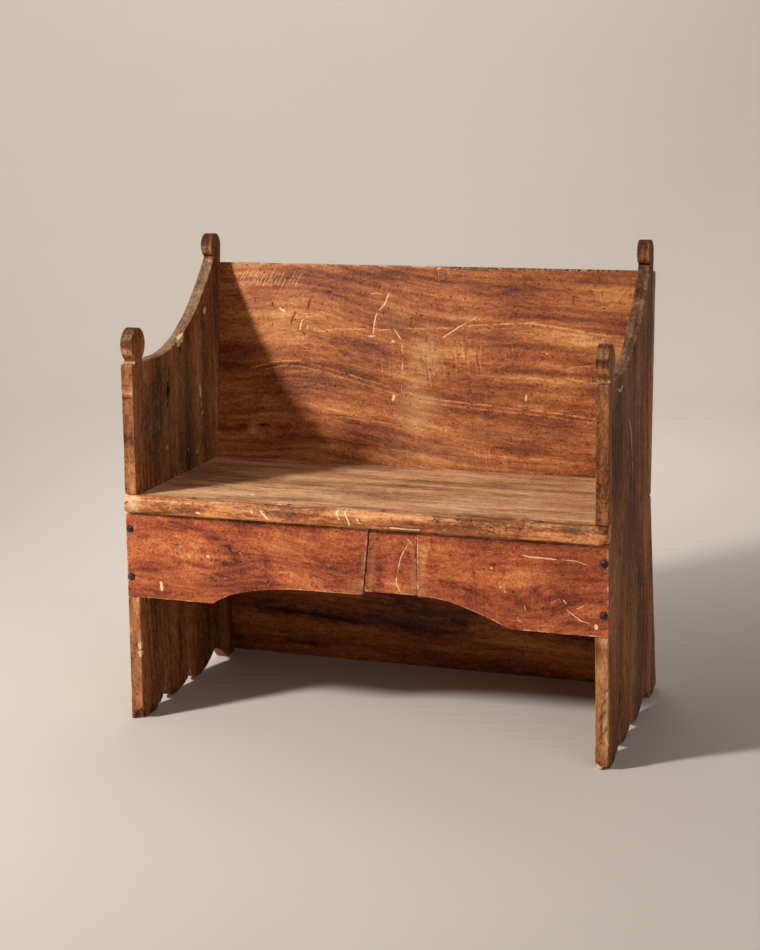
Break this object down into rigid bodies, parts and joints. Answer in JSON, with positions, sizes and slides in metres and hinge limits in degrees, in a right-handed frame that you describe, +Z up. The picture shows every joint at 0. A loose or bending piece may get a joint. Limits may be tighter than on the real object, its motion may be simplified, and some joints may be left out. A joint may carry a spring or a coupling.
{
  "type": "monks bench",
  "caption": "Country plank bench with shaped ends, ball finials, a let-in seat, an arched apron and a reclined board back.",
  "frame": {"origin": "middle of the bench's footprint box, on the floor", "axes": "+X along the seat to the right as seen from the front, -Y towards the front, +Z up"},
  "size_m": [0.95, 0.4868, 0.924],
  "materials": {
    "end_timber": "old oiled timber, dull and dry outside, worn at the edges",
    "seat_timber": "bare worn timber, grey-tan on top, orange-brown along the nose",
    "apron_timber": "red-brown stained timber with a soft sheen",
    "back_timber": "orange-brown polished timber with dark figure and scratches",
    "lower_back_timber": "dark brown timber, unpolished",
    "batten_timber": "rough sawn timber",
    "forged_iron": "blackened hand-forged iron"
  },
  "bodies": {
    "root": {"apron_batten": "batten_timber", "apron_insert": "apron_timber", "apron_left": "apron_timber", "apron_right": "apron_timber", "batten_nail_1_1": "forged_iron", "batten_nail_1_2": "forged_iron", "batten_nail_2_1": "forged_iron", "batten_nail_2_2": "forged_iron", "batten_nail_3_1": "forged_iron", "batten_nail_3_2": "forged_iron", "left_apron_nail_1": "forged_iron", "left_apron_nail_2": "forged_iron", "left_ear_nail": "forged_iron", "left_end": "end_timber", "left_lower_back_nail_1": "forged_iron", "left_lower_back_nail_2": "forged_iron", "left_lower_back_nail_3": "forged_iron", "left_seat_nail_1": "forged_iron", "left_seat_nail_2": "forged_iron", "left_upper_back_nail_1": "forged_iron", "left_upper_back_nail_2": "forged_iron", "left_upper_back_nail_3": "forged_iron", "left_upper_back_nail_4": "forged_iron", "lower_back": "lower_back_timber", "right_apron_nail_1": "forged_iron", "right_apron_nail_2": "forged_iron", "right_ear_nail": "forged_iron", "right_end": "end_timber", "right_lower_back_nail_1": "forged_iron", "right_lower_back_nail_2": "forged_iron", "right_lower_back_nail_3": "forged_iron", "right_seat_nail_1": "forged_iron", "right_seat_nail_2": "forged_iron", "right_upper_back_nail_1": "forged_iron", "right_upper_back_nail_2": "forged_iron", "right_upper_back_nail_3": "forged_iron", "right_upper_back_nail_4": "forged_iron", "seat": "seat_timber", "seat_rear_nail_1": "forged_iron", "seat_rear_nail_2": "forged_iron", "seat_rear_nail_3": "forged_iron", "seat_top_nail_1": "forged_iron", "seat_top_nail_2": "forged_iron", "seat_top_nail_3": "forged_iron", "seat_top_nail_4": "forged_iron", "seat_top_nail_5": "forged_iron", "upper_back": "back_timber"}
  },
  "joints": []
}
